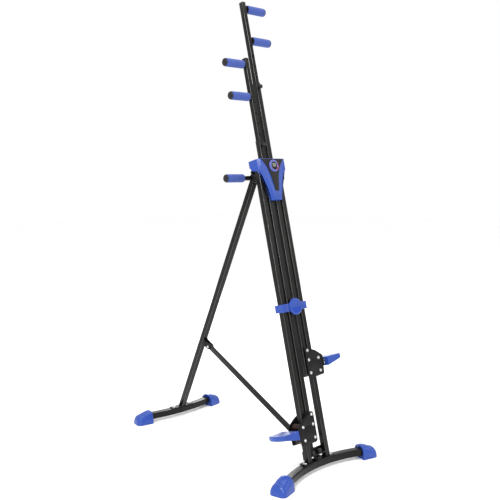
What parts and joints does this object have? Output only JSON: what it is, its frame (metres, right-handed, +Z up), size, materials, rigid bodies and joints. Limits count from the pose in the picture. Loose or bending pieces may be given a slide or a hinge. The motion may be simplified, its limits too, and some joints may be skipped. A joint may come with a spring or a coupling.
{
  "type": "vertical climber machine",
  "caption": "Free-standing climbing exerciser: leaning rails carry counter-moving pedals and telescoping handles, with a folding rear leg.",
  "frame": {"origin": "centre of the floor rectangle under the machine's bounding box", "axes": "+X to the machine's right seen from the user's side, +Y from the user towards the rear leg, +Z up"},
  "size_m": [0.659, 1.158, 2.1081],
  "materials": {
    "black_powder_coat": "semi-gloss black powder coat",
    "blue_moulding": "glossy royal blue moulding",
    "blue_foam": "matt closed-cell foam",
    "black_plastic": "satin black moulding",
    "zinc_steel": "bright zinc plating",
    "nylon": "self-coloured nylon",
    "bumper_rubber": "soft black rubber",
    "rope_fibre": "braided dark cord",
    "lcd": "grey-green liquid crystal window",
    "red_button": "gloss red moulding"
  },
  "bodies": {
    "frame": {"front_base_tube": "black_powder_coat", "front_foot_caps": "blue_moulding", "foot_plate": "black_powder_coat", "front_base_bolts": "zinc_steel", "left_rail": "black_powder_coat", "right_rail": "black_powder_coat", "lower_bracket": "black_powder_coat", "stop_bracket": "black_powder_coat", "stop_bumpers": "bumper_rubber", "collar_front": "blue_moulding", "collar_rear": "blue_moulding", "collar_boss": "blue_moulding", "head_bracket": "black_powder_coat", "handlebar": "black_powder_coat", "handlebar_grips": "blue_foam", "handlebar_end_caps": "black_plastic", "slider_guides": "nylon", "pulley_axle": "zinc_steel", "console_shell": "blue_moulding", "console_insert": "black_plastic", "timer_case": "blue_moulding", "timer_lens": "lcd", "left_rope": "rope_fibre", "right_rope": "rope_fibre"},
    "timer_button": {"timer_button": "red_button"},
    "pulley": {"pulley": "nylon"},
    "rear_leg": {"rear_leg_tube": "black_powder_coat", "leg_bracket": "black_powder_coat", "leg_bracket_bolt": "zinc_steel", "rear_foot_plate": "black_powder_coat", "rear_base_tube": "black_powder_coat", "rear_base_bolts": "zinc_steel", "rear_foot_caps": "blue_moulding"},
    "brace": {"brace_bar": "black_powder_coat", "brace_lock_pin": "zinc_steel"},
    "left_slider": {"left_slider_tube": "black_powder_coat", "left_front_plate": "black_powder_coat", "left_rear_plate": "black_powder_coat", "left_carriage_bolts": "zinc_steel", "left_nylon_guides": "nylon", "left_pedal": "blue_moulding"},
    "left_upper_roller": {"left_upper_roller": "nylon"},
    "left_lower_roller": {"left_lower_roller": "nylon"},
    "left_handle": {"left_handle_tube": "black_powder_coat", "left_handle_plugs": "black_plastic", "left_grips": "blue_foam"},
    "left_knob": {"left_knob": "black_plastic"},
    "right_slider": {"right_slider_tube": "black_powder_coat", "right_front_plate": "black_powder_coat", "right_rear_plate": "black_powder_coat", "right_carriage_bolts": "zinc_steel", "right_nylon_guides": "nylon", "right_pedal": "blue_moulding"},
    "right_upper_roller": {"right_upper_roller": "nylon"},
    "right_lower_roller": {"right_lower_roller": "nylon"},
    "right_handle": {"right_handle_tube": "black_powder_coat", "right_handle_plugs": "black_plastic", "right_grips": "blue_foam"},
    "right_knob": {"right_knob": "black_plastic"}
  },
  "joints": [
    {"name": "left_slide", "type": "slide", "parent": "frame", "child": "left_slider", "axis": [0, 0.2445, 0.9697], "range_m": [-0.04, 0.316], "deforming": ["left_rope"]},
    {"name": "right_slide", "type": "slide", "parent": "frame", "child": "right_slider", "axis": [0, 0.2445, 0.9697], "range_m": [-0.316, 0.04], "deforming": ["right_rope"]},
    {"name": "pulley_spin", "type": "hinge", "parent": "frame", "child": "pulley", "pos_m": [0, -0.1463, 1.28718], "axis": [0, 0.9697, -0.2445], "range_deg": [-106, 824]},
    {"name": "leg_fold", "type": "hinge", "parent": "frame", "child": "rear_leg", "pos_m": [0, -0.0735, 1.29], "axis": [-1, 0, 0], "range_deg": [0, 33]},
    {"name": "brace_fold", "type": "hinge", "parent": "rear_leg", "child": "brace", "pos_m": [0, 0.26147, 0.42349], "axis": [1, 0, 0], "range_deg": [0, 87]},
    {"name": "timer_press", "type": "slide", "parent": "frame", "child": "timer_button", "axis": [0, 0.9697, -0.2445], "range_m": [0, 0.0015], "stiffness_N_per_m": 400},
    {"name": "left_upper_roller_spin", "type": "hinge", "parent": "left_slider", "child": "left_upper_roller", "pos_m": [-0.086, -0.44143, 0.20654], "axis": [0, 0.9697, -0.2445], "range_deg": [-157, 1233]},
    {"name": "left_lower_roller_spin", "type": "hinge", "parent": "left_slider", "child": "left_lower_roller", "pos_m": [-0.086, -0.45561, 0.1503], "axis": [0, 0.9697, -0.2445], "range_deg": [-157, 1233]},
    {"name": "left_handle_slide", "type": "slide", "parent": "left_slider", "child": "left_handle", "axis": [0, 0.2445, 0.9697], "range_m": [-0.15, 0.15]},
    {"name": "left_knob_pull", "type": "slide", "parent": "left_slider", "child": "left_knob", "axis": [0, -0.9697, 0.2445], "range_m": [0, 0.006], "stiffness_N_per_m": 400},
    {"name": "right_upper_roller_spin", "type": "hinge", "parent": "right_slider", "child": "right_upper_roller", "pos_m": [0.086, -0.37396, 0.47416], "axis": [0, 0.9697, -0.2445], "range_deg": [-157, 1233]},
    {"name": "right_lower_roller_spin", "type": "hinge", "parent": "right_slider", "child": "right_lower_roller", "pos_m": [0.086, -0.38814, 0.41792], "axis": [0, 0.9697, -0.2445], "range_deg": [-157, 1233]},
    {"name": "right_handle_slide", "type": "slide", "parent": "right_slider", "child": "right_handle", "axis": [0, 0.2445, 0.9697], "range_m": [-0.15, 0.15]},
    {"name": "right_knob_pull", "type": "slide", "parent": "right_slider", "child": "right_knob", "axis": [0, -0.9697, 0.2445], "range_m": [0, 0.006], "stiffness_N_per_m": 400}
  ],
  "couplings": [
    {"joint": "right_slide", "follows": "left_slide", "ratio": -1},
    {"joint": "pulley_spin", "follows": "left_slide", "rad_per_m": 45.455},
    {"joint": "brace_fold", "follows": "leg_fold", "ratio": 2.6},
    {"joint": "left_upper_roller_spin", "follows": "left_slide", "rad_per_m": 68.027},
    {"joint": "left_lower_roller_spin", "follows": "left_slide", "rad_per_m": 68.027},
    {"joint": "right_upper_roller_spin", "follows": "left_slide", "rad_per_m": 68.027},
    {"joint": "right_lower_roller_spin", "follows": "left_slide", "rad_per_m": 68.027}
  ]
}
